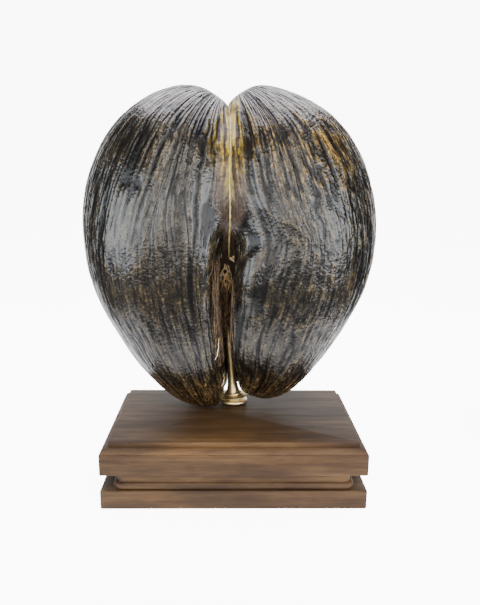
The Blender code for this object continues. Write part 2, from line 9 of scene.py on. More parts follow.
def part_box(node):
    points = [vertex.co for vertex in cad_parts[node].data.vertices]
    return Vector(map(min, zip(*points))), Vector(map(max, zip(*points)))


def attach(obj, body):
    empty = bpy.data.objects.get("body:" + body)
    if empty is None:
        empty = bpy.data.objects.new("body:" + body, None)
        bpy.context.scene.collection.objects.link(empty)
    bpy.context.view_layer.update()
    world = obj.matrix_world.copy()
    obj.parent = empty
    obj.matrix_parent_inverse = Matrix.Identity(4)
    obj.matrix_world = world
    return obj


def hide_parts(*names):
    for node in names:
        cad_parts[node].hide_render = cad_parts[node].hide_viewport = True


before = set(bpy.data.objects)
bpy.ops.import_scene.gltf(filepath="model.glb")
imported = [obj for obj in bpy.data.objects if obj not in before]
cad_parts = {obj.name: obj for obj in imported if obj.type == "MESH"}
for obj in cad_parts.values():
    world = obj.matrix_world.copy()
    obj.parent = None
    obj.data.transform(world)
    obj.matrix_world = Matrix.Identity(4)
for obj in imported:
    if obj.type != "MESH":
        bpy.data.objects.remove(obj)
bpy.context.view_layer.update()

MM = 0.001
BODY = "root"

# Camera, matched to the photograph
CAMERA_PLACE = Vector((-0.0061, -0.5110, 0.2739))
CAMERA_PITCH = radians(12.54)
CAMERA_YAW = radians(-1.2)
CAMERA_ROLL = radians(0.58)
IMAGE_WIDTH = 480
IMAGE_HEIGHT = 605
FOCAL_PIXELS = 597.1
SENSOR = 36.0

# Studio: floor, room and wall brightness, and the soft boxes as azimuth from the
# front and elevation in degrees, distance, width, height, radiance and colour
FLOOR_REACH = 6.0
FLOOR_NEAR = (0.60, 0.60, 0.60)
FLOOR_FAR = (0.04, 0.04, 0.04)
ROOM_RADIANCE = 0.06
WALL_RADIANCE = 2.5
WHITE_SEEN = 9.5
FLOOR_GLOW_SEEN = 9.5
FLOOR_GLOW = 1.6
WHITE_WALL_START = 0.62
WHITE_WALL_FULL = 0.86
NUT_CENTRE = Vector((0.0, -0.02, 0.22))
SOFT_BOXES = (
    ("left_box", -52, 5, 0.90, 1.08, 0.68, 7.4, (0.90, 0.95, 1.00)),
    ("right_box", 47, 4, 0.90, 0.88, 0.78, 8.4, (0.93, 0.96, 1.00)),
    ("front_panel", -3, 4, 1.15, 0.56, 0.95, 4.9, (1.00, 0.92, 0.84)),
    ("upper_panel", 5, 41, 1.10, 0.80, 0.28, 8.0, (1.00, 0.95, 0.86)),
    ("top_box", 180, 76, 1.05, 1.30, 1.20, 8.2, (0.95, 0.93, 1.00)),
)

# Plinth, as in the frame
PLINTH_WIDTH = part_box("plinth_top")[1][0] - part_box("plinth_top")[0][0]
PLINTH_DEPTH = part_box("plinth_top")[1][1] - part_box("plinth_top")[0][1]
PANEL_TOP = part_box("plinth_top")[1][2]
TOP_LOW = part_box("plinth_top")[0][2]
NECK_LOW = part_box("plinth_neck")[0][2]
NECK_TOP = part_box("plinth_neck")[1][2]
TOP_FACE_HEIGHT = 0.0183
OVOLO_HEIGHT = 0.0047
PANEL_INSET = 0.0067
NECK_INSET_SIDE = 0.0105
NECK_INSET_FRONT = 0.0012
NECK_COVE = 0.0026
NECK_BEAD_HEIGHT = 0.0062
NECK_BEAD_FLATNESS = 0.8
NECK_QUIRK = 0.0006
NECK_CORNER_RADIUS = 0.007
TOP_CORNER_RADIUS = 0.0012
ARC_STEPS = 12
BOARD_EASE = 0.0008

# Stem, as in the frame: heights run up the leaning stem from the panel
STEM_X = 0.0003
STEM_Y = 0.0284
STEM_LEAN = radians(4.8)
STEM_TOP = 0.1128
FIT_GAP = 0.0003
TURNED_SIDES = 96

# Brass bead ring: radii at its foot and neck, centre of the bead's round, heights
# of the bead above the foot, and the small edges above and below
RING_FOOT_RADIUS = 0.0079
RING_NECK_RADIUS = 0.00825
BEAD_RADIUS = 0.0112
BEAD_LOW = 0.0005
BEAD_HIGH = 0.0036
RING_EDGE = 0.0002
BEAD_STEPS = 16

# Stem: radius of its foot, and radii and heights in millimetres of rim and shaft
STEM_FOOT_RADIUS = 0.0076
STEM_RIM = ((7.6, 0.0), (7.6, 0.6), (9.6, 0.9), (12.4, 1.4), (13.0, 1.9), (12.7, 2.4),
            (10.6, 2.8), (8.6, 3.4), (7.5, 4.1))
STEM_SHAFT = ((7.5, 4.1), (7.9, 4.6), (7.7, 5.2), (6.9, 5.7), (6.1, 7.4), (5.5, 9.6),
              (4.9, 12.6), (4.4, 16.4), (4.05, 21.0), (3.95, 27.0), (4.0, 34.0),
              (4.25, 43.0), (4.5, 54.0), (4.6, 66.0))
STEM_END_RADIUS = 0.0046
STEM_END_EDGE = 0.0004

# Nut, as in the frame: median plane, middle plane and the lobes' stations
NUT_MEDIAN_X = -0.005
NUT_MIDDLE_Y = 0.024
OUTER_SQUARENESS = 2.12
POINTS_AROUND = 768
ROWS_ALONG = 132
RING_STEPS = 5761
POLE_CROWDING = 0.3
POLE_GAP = 0.004
LEFT_LOBE = (
    ((12, 334.5), (12, 334.5), 0),
    ((30, 342), (1, 325), 27),
    ((61, 336.5), (-8, 307), 54),
    ((92, 315.5), (-15, 285), 72),
    ((112.5, 286), (-18, 263), 82),
    ((124.3, 250), (-13, 243), 87),
    ((126.5, 213), (1.5, 220), 88),
    ((120.3, 177), (7.4, 192), 86),
    ((106, 144), (7.2, 158), 79),
    ((86.5, 111), (4.8, 121), 67),
    ((63.5, 82.5), (3.4, 90), 49),
    ((42, 63.5), (6.6, 66), 25),
    ((18.5, 57.2), (18.5, 57.2), 0),
)
RIGHT_LOBE = (
    ((12, 338.5), (12, 338.5), 0),
    ((29, 343.3), (-1, 328), 27),
    ((61, 334.5), (-9, 308), 54),
    ((91, 315.5), (-15, 285), 72),
    ((112.5, 286), (-18, 263), 82),
    ((124.3, 251), (-13, 243), 87),
    ((126.5, 214), (2, 221), 88),
    ((120, 176), (6.5, 193), 86),
    ((106, 143.5), (6, 160), 79),
    ((86, 111), (7, 128), 67),
    ((64.5, 83.5), (9.2, 99), 49),
    ((45, 68), (10.8, 78), 25),
    ((27, 65.2), (27, 65.2), 0),
)

# How square the inner faces are beside the furrow and beside the opening, and
# the heights between which one turns into the other
LEFT_INNER_SQUARENESS = (2.6, 5.5, 205.0, 252.0)
RIGHT_INNER_SQUARENESS = (2.6, 4.6, 185.0, 228.0)

# Behind the stem the inner faces close in: middle of the closed stretch through
# the nut, its half length, the gap left beside the median plane, and the heights
# and shares of the way in between which it starts
CLOSED_MIDDLE = 32.0
CLOSED_HALF_LENGTH = 17.0
CLOSED_GAP = 1.2
CLOSED_START = (58.0, 70.0)
CLOSED_INNER = (0.3, 0.7)

# Front fold beside the opening: edge x and z at its upper end, edge x and z
# where it turns down, lower end z, rise, half width; share of the rise lost on
# the way up, height and slant of the furrows on the fold; depth, place and half
# width of the hollow between fold and edge
LEFT_FOLD = (13.5, 236, 13.0, 190, 176, 2.2, 5.5)
RIGHT_FOLD = (18.5, 240, 7.0, 192, 174, 5.4, 9.0)
FOLD_FADE = 0.88
FURROW_RISE = 0.85
FURROW_SLANT = 0.2
HOLLOW_DEPTH = 1.0
HOLLOW_BESIDE = 4.0
HOLLOW_HALF_WIDTH = 5.0

# Bark: cells of each noise in millimetres around and along the lobe; a noise's
# place in this table is added to the lobe's seed
BARK_CELLS = {
    "wide_drift": (34.0, 60.0),
    "small_drift": (8.0, 18.0),
    "long_groove": (2.9, 60.0),
    "short_groove": (2.3, 15.0),
    "lump": (2.4, 5.5),
    "patch": (30.0, 34.0),
    "swell": (60.0, 70.0),
    "dent": (16.0, 22.0),
    "furrow": (3.4, 24.0),
}
NOISE_ROWS = 257
NOISE_START = 100.0
WIDE_DRIFT = 2.6
SMALL_DRIFT = 0.7
LONG_GROOVE_DEPTH = 1.15
SHORT_GROOVE_DEPTH = 0.55
LONG_GROOVE_WIDTH = 0.24
SHORT_GROOVE_WIDTH = 0.22
RIDGE_TOP = 0.40
LUMP_HEIGHT = 0.32
BARK_HEIGHT = 0.58
SWELL_HEIGHT = 0.75
DENT_HEIGHT = 0.30

# How deep the grooves are cut: least share, shares on the flanks and beside the
# median plane, and the heights and distances out between which they deepen
CARVED_LEAST = 0.46
CARVED_FLANK = 0.75
CARVED_MIDDLE = 0.8
CARVED_TOP_RANGE = (232.0, 280.0)
CARVED_FLANK_RANGE = (78.0, 104.0)
CARVED_MIDDLE_RANGE = (-48.0, -28.0)

# How much coarser the bark lumps get on the outer part of each lobe, and the
# seeds of the bark and of the fibres and seam
LEFT_LUMPY = 0.04
RIGHT_LUMPY = 0.34
LEFT_SEED = 500
RIGHT_SEED = 300
FIBRE_SEED = 29
SEAM_SEED = 11

# Lip that narrows the opening in front: reach towards the median plane, and its
# angle on the ring and half width as an angle; heights where it starts and ends
LEFT_LIP = -0.5
RIGHT_LIP = 10.0
LIP_ANGLE = radians(-135.0)
LIP_SPREAD = 0.33
LIP_LOW = (84.0, 122.0)
LIP_HIGH = (226.0, 252.0)

# Floor between the lobes: z, half width, front depth, back depth; its fillet, how
# far it is sunk, from how far under the lobe to how far over it it counts as floor,
# and the lowest z of the fibres on it
BRIDGE = (
    (326, 0, 0, 0),
    (321, 9, 25, 25),
    (305, 17, 53, 53),
    (281, 23, 71, 71),
    (257, 26, 78, 77),
    (236, 27, 75, 72),
    (220, 26, 63, 61),
    (205, 24, 49, 48),
    (190, 21, 37, 37),
    (176, 18, 27, 26),
    (164, 15, 17, 17),
    (156, 0, 0, 0),
)
BRIDGE_SQUARENESS = 3.4
BRIDGE_FOOT = 160.0
BRIDGE_STEPS = 1500
BRIDGE_FILLET = 7.0
BRIDGE_SINK = 0.2
BRIDGE_SHARE = (-4.0, 1.5)

# Net of fibres on the furrow's floor: middle, top, height, half width and holes,
# each hole with its x, z and radius
NET_X = -2.9
NET_TOP = 198.0
NET_HEIGHT = 34.0
NET_HALF_WIDTH = 5.0
NET_HOLES = ((-3.2, 190.0, 2.5), (-2.6, 180.5, 2.0), (-1.6, 175.5, 1.3))

# Other fibres: counts of strands, also on each wall with lowest and highest z;
# pale tufts, pale partly as painted light, as x, z, spread and count; single hairs
# over the left lobe as ring angles in degrees, z and lifts, with their thickness
NET_COUNT = 66
HANGING_COUNT = 120
LEFT_WALL = (90, 112.0, 208.0)
RIGHT_WALL = (60, 108.0, 196.0)
TUFTS = ((-12.5, 206.0, 3.0, 30), (1.6, 203.0, 2.0, 16))
WISPS = (
    (((-146, 138, 0.6), (-136, 128, 1.6), (-128, 120, 0.8)), 0.40),
    (((-158, 100, 0.5), (-144, 95, 1.8), (-134, 90, 0.8)), 0.30),
)
WISP_TONE = 0.86
STRAND_TIP = 0.25

# Thin seam down the furrow: heights and radii in millimetres
SEAM_HIGH = 323.0
SEAM_LOW = 201.0
SEAM_RADIUS = 0.68
SEAM_END_RADIUS = 0.3

# Colours from dark to light, each with its place on the ramp
SHELL_TONES = (
    (0.00, (0.0008, 0.0005, 0.0003)),
    (0.32, (0.0030, 0.0021, 0.0010)),
    (0.54, (0.0095, 0.0066, 0.0030)),
    (0.76, (0.0310, 0.0220, 0.0096)),
    (1.00, (0.0980, 0.0700, 0.0320)),
)
SHELL_FLOOR_DARK = (0.020, 0.013, 0.010)
SHELL_FLOOR_PALE = (0.070, 0.045, 0.034)
AMBER_DARK = (0.020, 0.010, 0.001)
AMBER_PALE = (0.450, 0.300, 0.016)
SEAM_TONES = ((0.3, (0.120, 0.090, 0.024)), (0.7, (0.460, 0.400, 0.130)))
# Fibre colours, partly painted light: the ramp is paler than the fibres' own colour to stand in
# for the dim light inside the opening
FIBRE_TONES_AND_PAINTED_LIGHT = (
    (0.00, (0.034, 0.022, 0.013)),
    (0.30, (0.100, 0.062, 0.030)),
    (0.60, (0.360, 0.220, 0.085)),
    (0.84, (0.720, 0.470, 0.190)),
    (1.00, (0.860, 0.720, 0.500)),
)
BRASS_TONES = ((0.32, (0.720, 0.540, 0.260)), (0.58, (0.930, 0.780, 0.450)))
WOOD_TONES = (
    (0.0, (0.030, 0.0150, 0.0056)),
    (0.5, (0.057, 0.0295, 0.0112)),
    (1.0, (0.095, 0.0520, 0.0200)),
)
STEEL_TONES = ((0.3, (0.330, 0.330, 0.340)), (0.7, (0.560, 0.560, 0.580)))


def spline(values, at):
    """Natural cubic spline through values at 0, 1, 2 and so on."""
    values = np.asarray(values, dtype=float)
    count = len(values)
    system = np.eye(count)
    right = np.zeros(count)
    for row in range(1, count - 1):
        system[row, row - 1:row + 2] = (1.0, 4.0, 1.0)
        right[row] = 6.0 * (values[row + 1] - 2.0 * values[row] + values[row - 1])
    second = np.linalg.solve(system, right)
    low = np.clip(np.floor(at).astype(int), 0, count - 2)
    part = at - low
    rest = 1.0 - part
    bend = (rest ** 3 - rest) * second[low] + (part ** 3 - part) * second[low + 1]
    return rest * values[low] + part * values[low + 1] + bend / 6.0


def spline_between_poles(own, other, at, sign=1.0):
    """Spline that runs on through both poles onto the other edge."""
    run = [sign * other[1], *own, sign * other[-2]]
    return spline(run, np.asarray(at) + 1.0)


def ring_shape(angles, inner, outer):
    """Unit outline, rounder on the outer side and squarer on the inner side."""
    power = np.where(np.cos(angles) >= 0.0, outer, inner)
    across = np.sign(np.cos(angles)) * np.abs(np.cos(angles)) ** (2.0 / power)
    deep = np.sign(np.sin(angles)) * np.abs(np.sin(angles)) ** (2.0 / power)
    return across, deep


def smooth_step(value, low, high):
    part = np.clip((value - low) / (high - low), 0.0, 1.0)
    return part * part * (3.0 - 2.0 * part)


def smooth_max(first, second, reach):
    share = np.clip(0.5 + 0.5 * (first - second) / reach, 0.0, 1.0)
    return second + (first - second) * share + reach * share * (1.0 - share)


def bell(value, width):
    """One at nought, and less to both sides."""
    return np.exp(-(value / width) ** 2)


def cell_noise(u, v, cell_u, cell_v, around, seed):
    """Smooth noise from minus one to one in cells, closed over a length around."""
    cells = max(int(round(around / cell_u)), 3)
    table = np.random.default_rng(seed).uniform(-1.0, 1.0, (cells, NOISE_ROWS))
    place_u = u / around * cells
    place_v = v / cell_v + NOISE_START
    low_u = np.floor(place_u).astype(int)
    low_v = np.floor(place_v).astype(int)
    part_u = smooth_step(place_u - low_u, 0.0, 1.0)
    part_v = smooth_step(place_v - low_v, 0.0, 1.0)
    low_u %= cells
    high_u = (low_u + 1) % cells
    low_v %= NOISE_ROWS
    high_v = (low_v + 1) % NOISE_ROWS
    near = table[low_u, low_v] * (1.0 - part_u) + table[high_u, low_v] * part_u
    far = table[low_u, high_v] * (1.0 - part_u) + table[high_u, high_v] * part_u
    return near * (1.0 - part_v) + far * part_v


def bridge_depth(x, z, back):
    """Depth of the furrow's floor in millimetres at places x, z in millimetres."""
    heights, widths, front_depths, back_depths = zip(*BRIDGE)
    fine = np.linspace(0.0, len(BRIDGE) - 1, BRIDGE_STEPS)
    place = np.interp(z, spline(heights, fine)[::-1], fine[::-1])
    wide = np.maximum(spline(widths, place), 0.01)
    deep = np.where(back, spline(back_depths, place), spline(front_depths, place))
    inside = np.clip(1.0 - np.abs(x / wide) ** BRIDGE_SQUARENESS, 0.0, 1.0)
    inside = np.where((z > heights[-1]) & (z < heights[0]), inside, 0.0)
    return np.maximum(deep, 0.0) * inside ** (1.0 / BRIDGE_SQUARENESS)


def grid_normals(grid):
    around = np.empty_like(grid)
    around[:, 1:-1] = grid[:, 2:] - grid[:, :-2]
    around[:, 0] = grid[:, 1] - grid[:, -2]
    around[:, -1] = around[:, 0]
    along = np.gradient(grid, axis=0)
    normals = np.cross(around, along)
    normals /= np.linalg.norm(normals, axis=2, keepdims=True) + 1e-9
    centre = grid.mean(axis=1, keepdims=True)
    facing = np.sum(normals * (grid - centre), axis=2).mean()
    return normals if facing > 0.0 else -normals


def mesh_piece(name, points, faces, corner_uv=None, values=None):
    mesh = bpy.data.meshes.new(name)
    mesh.from_pydata(points, [], faces)
    if corner_uv is not None:
        layer = mesh.uv_layers.new(name="flow")
        layer.data.foreach_set("uv", np.asarray(corner_uv, dtype=np.float32).ravel())
    for label, array in (values or {}).items():
        attribute = mesh.attributes.new(label, "FLOAT", "POINT")
        attribute.data.foreach_set("value", np.asarray(array, dtype=np.float32))
    mesh.shade_smooth()
    piece = bpy.data.objects.new(name, mesh)
    bpy.context.scene.collection.objects.link(piece)
    return piece


def lobe_edges(stations, at):
    """Outer x and z, inner x and z and half depth at places along a lobe."""
    outer, inner, depths = zip(*stations)
    edges = []
    for own, other in ((outer, inner), (inner, outer)):
        for own_values, other_values in zip(zip(*own), zip(*other)):
            edges.append(spline_between_poles(own_values, other_values, at))
    return (*edges, spline_between_poles(depths, depths, at, sign=-1.0))


def ring_angles(half_across, half_deep, inner_power):
    """Angles at even steps around a ring, and the way around to each."""
    fine = np.linspace(-pi, pi, RING_STEPS)
    across, through = ring_shape(fine, inner_power, OUTER_SQUARENESS)
    steps = np.hypot(np.diff(across) * half_across, np.diff(through) * half_deep)
    run = np.concatenate(([0.0], np.cumsum(steps)))
    even = np.linspace(0.0, run[-1], POINTS_AROUND + 1)
    return np.interp(even, run, fine), even


def smooth_lobe(stations, squareness):
    """Points of a smooth lobe, unit outline, ring angles, way around, half depths."""
    last = len(stations) - 1
    even = np.linspace(0.0, 1.0, ROWS_ALONG + 2)
    eased = 0.5 - 0.5 * np.cos(pi * even)
    at = last * (POLE_CROWDING * eased + (1.0 - POLE_CROWDING) * even)
    at[0] = POLE_GAP
    at[-1] = last - POLE_GAP
    outer_x, outer_z, inner_x, inner_z, deep = lobe_edges(stations, at)
    beside_furrow, beside_opening, opening_z, furrow_z = squareness
    above = smooth_step(inner_z, opening_z, furrow_z)
    inner_power = (beside_opening + (beside_furrow - beside_opening) * above)[:, None]
    widest = int(np.argmax(deep))
    half_across = (outer_x[widest] - inner_x[widest]) / 2.0
    angles, way_around = ring_angles(half_across, deep[widest], beside_opening)
    across, through = ring_shape(angles[None, :], inner_power, OUTER_SQUARENESS)
    grid = np.empty((len(at), len(angles), 3))
    for axis, outer, inner in ((0, outer_x, inner_x), (2, outer_z, inner_z)):
        middle = ((outer + inner) / 2.0)[:, None]
        half = ((outer - inner) / 2.0)[:, None]
        grid[:, :, axis] = middle + half * across
    grid[:, :, 1] = deep[:, None] * through
    return grid, across, angles, way_around, deep


def shape_opening(grid, across, angles, lip_reach):
    """Close the inner faces in behind the stem, and move the lip in front of it."""
    x, y, z = np.moveaxis(grid, 2, 0)
    behind = np.exp(-((y - CLOSED_MIDDLE) / CLOSED_HALF_LENGTH) ** 4)
    behind = behind * smooth_step(-across, *CLOSED_INNER)
    behind = behind * smooth_step(z, *CLOSED_START)
    x -= np.maximum(x - CLOSED_GAP, 0.0) * behind
    lip = bell(angles - LIP_ANGLE, LIP_SPREAD)[None, :]
    lip = lip * smooth_step(z, *LIP_LOW) * (1.0 - smooth_step(z, *LIP_HIGH))
    x -= lip_reach * lip


def fill_furrow(grid):
    """Fill the valley with the furrow's floor; returns how far each point is floor."""
    x, y, z = np.moveaxis(grid, 2, 0)
    deep = np.abs(y)
    floor = bridge_depth(x, z, y > 0.0)
    filled = smooth_max(deep, floor - BRIDGE_SINK, BRIDGE_FILLET)
    filled = np.where(floor > 0.5, filled, deep)
    grid[:, :, 1] = np.where(y > 0.0, 1.0, -1.0) * filled
    return smooth_step(floor - deep, *BRIDGE_SHARE)


def bark(grid, u, v, shrink, on_floor, lumpy, seed):
    """Flat ridges between narrow broken grooves: relief in millimetres and shades."""
    x, _, z = np.moveaxis(grid, 2, 0)
    around = u[0, -1]

    def noise(label, at=u):
        place = list(BARK_CELLS).index(label)
        return cell_noise(at, v, *BARK_CELLS[label], around, seed + place)

    bent = u + (WIDE_DRIFT * noise("wide_drift") + SMALL_DRIFT * noise("small_drift"))
    long_groove = LONG_GROOVE_DEPTH * bell(noise("long_groove", bent), LONG_GROOVE_WIDTH)
    short_groove = SHORT_GROOVE_DEPTH * bell(noise("short_groove", bent), SHORT_GROOVE_WIDTH)
    patch = noise("patch")
    carved = CARVED_LEAST + (1.0 - CARVED_LEAST) * smooth_step(z, *CARVED_TOP_RANGE)
    carved = np.maximum(carved, CARVED_FLANK * smooth_step(x, *CARVED_FLANK_RANGE))
    carved = np.maximum(carved, CARVED_MIDDLE * smooth_step(-x, *CARVED_MIDDLE_RANGE))
    carved = carved * (1.0 + 0.35 * patch)
    ridge = RIDGE_TOP - (long_groove + short_groove) * carved
    ridge = ridge + (LUMP_HEIGHT + lumpy * smooth_step(x, 24.0, 58.0)) * noise("lump", bent)
    strength = smooth_step(shrink, 0.05, 0.45) * (1.0 - 0.72 * on_floor)
    broad = SWELL_HEIGHT * noise("swell") + DENT_HEIGHT * noise("dent")
    relief = BARK_HEIGHT * ridge * strength
    relief = relief + broad * smooth_step(shrink, 0.1, 0.5) * (1.0 - on_floor)
    shade = {
        "ridge": np.clip(0.62 + 0.45 * (ridge - 0.30 * (1.0 - carved)), 0.0, 1.0),
        "patch": 0.5 + 0.5 * patch,
        "floor_share": on_floor,
    }
    return relief, shade


def add_fold(relief, grid, normals, u, v, fold, seed):
    """Relief with the raised fold on the front edge beside the opening."""
    high_x, high_z, low_x, turn_z, low_z, rise, width = fold
    x, _, z = np.moveaxis(grid, 2, 0)
    part = np.clip((z - turn_z) / (high_z - turn_z), 0.0, 1.3)
    edge_x = low_x + (high_x - low_x) * part
    front = smooth_step(-normals[:, :, 1], 0.1, 0.6)
    window = smooth_step(z, low_z - 14.0, low_z + 8.0)
    window = window * (1.0 - smooth_step(z, high_z - 40.0, high_z + 16.0))
    rise = rise * (1.0 - FOLD_FADE * smooth_step(z, low_z + 8.0, high_z))
    crest = bell(x - edge_x - 1.1 * width, width)
    hollow = bell(x - edge_x + HOLLOW_BESIDE, HOLLOW_HALF_WIDTH)
    step = list(BARK_CELLS).index("furrow")
    furrow = cell_noise(u + FURROW_SLANT * v, v, *BARK_CELLS["furrow"], u[0, -1], seed + step)
    relief = relief + front * window * (rise * crest - HOLLOW_DEPTH * hollow)
    return relief + front * window * crest * FURROW_RISE * furrow


def lobe_surface(stations, squareness, fold, lip_reach, lumpy, seed):
    """One lobe in millimetres, x out from the median, seam column doubled."""
    grid, across, angles, way_around, deep = smooth_lobe(stations, squareness)
    shape_opening(grid, across, angles, lip_reach)
    on_floor = fill_furrow(grid)
    normals = grid_normals(grid)
    steps = np.linalg.norm(np.diff(grid[:, POINTS_AROUND // 2], axis=0), axis=1)
    way_along = np.concatenate(([0.0], np.cumsum(steps)))
    u = np.broadcast_to(way_around[None, :], grid.shape[:2])
    v = np.broadcast_to(way_along[:, None], grid.shape[:2])
    deepest = max(station[2] for station in stations)
    shrink = np.clip(deep / deepest, 0.02, 1.0)[:, None]
    relief, shade = bark(grid, u, v, shrink, on_floor, lumpy, seed)
    relief = add_fold(relief, grid, normals, u, v, fold, seed)
    return {"base_x": grid[:, :, 0], "flow": np.stack([u, v], axis=-1), "angles": angles,
            "normals": normals, "grid": grid + normals * relief[:, :, None], "shade": shade}


def stain_masks(points):
    """Amber stain in the upper furrow and gold tint by place, in millimetres."""
    x = points[:, 0] - NUT_MEDIAN_X / MM
    y = points[:, 1] - NUT_MIDDLE_Y / MM
    z = points[:, 2]
    front = smooth_step(-y, 0.0, 25.0)
    below_top = 1.0 - smooth_step(z, 312.0, 328.0)
    half_width = 5.5 + 5.0 * smooth_step(z, 262.0, 292.0) * below_top
    stain = bell(x - 1.5, half_width) * smooth_step(z, 232.0, 285.0) * front
    gold = smooth_step(x, 8.0, 34.0) * (1.0 - smooth_step(x, 78.0, 104.0))
    gold = gold * smooth_step(z, 240.0, 276.0) * (1.0 - smooth_step(z, 314.0, 332.0))
    return stain, gold * front


def cell_corners(grid):
    """What a grid holds at the four corners of each of its cells."""
    corners = np.stack([grid[:-1, :-1], grid[1:, :-1], grid[1:, 1:], grid[:-1, 1:]], axis=2)
    return corners.reshape(-1, 4, *grid.shape[2:])


def band_faces(rings, sides):
    """Faces between closed rings of points that follow each other."""
    faces = []
    for base in range(0, (rings - 1) * sides, sides):
        for side in range(sides):
            following = (side + 1) % sides
            faces.append((base + side, base + following,
                          base + sides + following, base + sides + side))
    return faces


def shell_piece(name, side, surface):
    """One lobe, with the floor of the furrow as well on the right one."""
    centre = np.array((NUT_MEDIAN_X, NUT_MIDDLE_Y, 0.0)) / MM
    grid = surface["grid"]
    flow = surface["flow"]
    rows, columns = surface["base_x"].shape
    grid[:, -1] = grid[:, 0]
    points = (grid * np.array((side, 1.0, 1.0)) + centre).reshape(-1, 3)
    index = np.arange(rows * columns).reshape(rows, columns)
    index[:, -1] = index[:, 0]
    quads = cell_corners(index)
    corners = cell_corners(flow)
    keep = (surface["base_x"].reshape(-1)[quads] > -0.8).any(axis=1)
    quads = quads[keep]
    corners = corners[keep]
    if side < 0:
        quads = quads[:, ::-1]
        corners = corners[:, ::-1]
    faces = quads.tolist()
    corners = [corners.reshape(-1, 2)]
    for row in (0, rows - 1):
        columns_here = np.arange(columns - 1)
        if (side > 0) == (row == 0):
            columns_here = columns_here[::-1]
        faces.append(index[row, columns_here].tolist())
        corners.append(flow[row, columns_here])
    values = {label: array.reshape(-1) for label, array in surface["shade"].items()}
    if side > 0:
        floor_points, floor_faces, floor_uv = floor_surface()
        faces += (floor_faces + len(points)).tolist()
        points = np.concatenate([points, floor_points + centre])
        corners.append(floor_uv)
        count = len(floor_points)
        for label, level in (("ridge", 0.42), ("patch", 0.5), ("floor_share", 1.0)):
            values[label] = np.concatenate([values[label], np.full(count, level)])
    values["stain"], values["gold"] = stain_masks(points)
    values["tip"] = 1.0 - smooth_step(points[:, 2], 74.0, 112.0)
    values["coarse"] = smooth_step(points[:, 0], 10.0, 60.0)
    piece = mesh_piece(name, (points * MM).tolist(), faces, np.concatenate(corners), values)
    drop_loose_points(piece)
    return piece


def drop_loose_points(piece):
    work = bmesh.new()
    work.from_mesh(piece.data)
    loose = [point for point in work.verts if not point.link_faces]
    bmesh.ops.delete(work, geom=loose, context="VERTS")
    work.to_mesh(piece.data)
    work.free()
    piece.data.shade_smooth()


def floor_surface(columns=30, rows=90):
    """Floor between the lobes, front and back, in millimetres."""
    heights = np.linspace(250.0, 156.4, rows)
    x_parts = np.linspace(-1.0, 1.0, columns)
    sheets = []
    for back in (False, True):
        x = x_parts[None, :] * np.full((rows, 1), 13.0)
        z = np.broadcast_to(heights[:, None], x.shape)
        deep = bridge_depth(x, z, np.full(x.shape, back))
        wobble = cell_noise(x + 40.0, z, 3.2, 17.0, 80.0, 71) * 0.45
        deep = np.maximum(deep + wobble * smooth_step(deep, 2.0, 9.0), 0.0)
        y = deep if back else -deep
        sheets.append(np.stack([x, y, z], axis=-1))
    points = np.concatenate([sheet.reshape(-1, 3) for sheet in sheets])
    index = np.arange(rows * columns).reshape(rows, columns)
    quads = cell_corners(index)
    back_quads = quads[:, ::-1] + rows * columns
    faces = np.concatenate([quads, back_quads])
    uv = points[faces.reshape(-1)][:, [0, 2]]
    return points, faces, uv


def tube(path, radii, sides=6):
    """Points and faces of a round strand along a path, ends closed."""
    path = [Vector(point) for point in path]
    points = []
    first = None
    for index, place in enumerate(path):
        before = path[max(index - 1, 0)]
        after = path[min(index + 1, len(path) - 1)]
        along = (after - before).normalized()
        if first is None:
            first = along.cross(Vector((0.31, 0.93, 0.17))).normalized()
        first = (first - along * first.dot(along)).normalized()
        second = along.cross(first)
        for side in range(sides):
            angle = 2.0 * pi * side / sides
            offset = first * cos(angle) + second * sin(angle)
            points.append(place + offset * radii[index])
    faces = [tuple(range(sides)), *band_faces(len(path), sides)]
    end = (len(path) - 1) * sides
    faces.append(tuple(end + side for side in reversed(range(sides))))
    return points, faces


def strands_piece(name, strands):
    """One mesh from many strands, each a path with its radii and its tone."""
    points = []
    faces = []
    tones = []
    for path, radii, tone in strands:
        strand_points, strand_faces = tube(path, radii)
        offset = len(points)
        points += strand_points
        faces += [tuple(corner + offset for corner in face) for face in strand_faces]
        tones += [tone] * len(strand_points)
    return mesh_piece(name, points, faces, values={"tone": tones})


def floor_place(x, z, lift):
    """World point above the front of the furrow's floor, from millimetres."""
    deep = float(bridge_depth(np.array([x]), np.array([z]), np.array([False]))[0])
    return Vector((NUT_MEDIAN_X + x * MM, NUT_MIDDLE_Y - (deep + lift) * MM, z * MM))


def seam_piece():
    """Thin raised seam down the furrow from the notch to the opening."""
    draw = np.random.default_rng(SEAM_SEED).uniform
    path = []
    radii = []
    for height in np.linspace(SEAM_HIGH, SEAM_LOW, 90):
        sway = 0.35 * sin(height * 0.11) + draw(-0.06, 0.06)
        path.append(floor_place(sway, height, 0.50))
        swelling = 0.12 * sin(height * 0.9) + draw(-0.08, 0.10)
        radii.append((SEAM_RADIUS + swelling) * MM)
    radii[-1] = SEAM_END_RADIUS * MM
    return strands_piece("furrow_seam", [(path, radii, 1.0)])


def lobe_place(surface, side, angle, height, lift):
    """World point on a lobe at a ring angle and a height, lifted off in millimetres."""
    column = int(np.searchsorted(surface["angles"], angle))
    line = surface["grid"][:, column]
    row = float(np.interp(-height, -line[:, 2], np.arange(len(line))))
    low = int(row)
    part = row - low
    point = line[low] * (1.0 - part) + line[low + 1] * part
    point = point + surface["normals"][low, column] * lift
    x, y, z = point * MM
    return Vector((NUT_MEDIAN_X + side * x, NUT_MIDDLE_Y + y, z))


def shares(count):
    """Even shares of the way from start to end."""
    return [step / (count - 1.0) for step in range(count)]


def strand(path, thick, tone):
    """Path with radii that thin towards both ends, and its tone."""
    radii = []
    for part in shares(len(path)):
        swelling = sin(pi * (0.12 + 0.82 * part))
        radii.append(thick * MM * (STRAND_TIP + (1.0 - STRAND_TIP) * swelling))
    return path, radii, tone


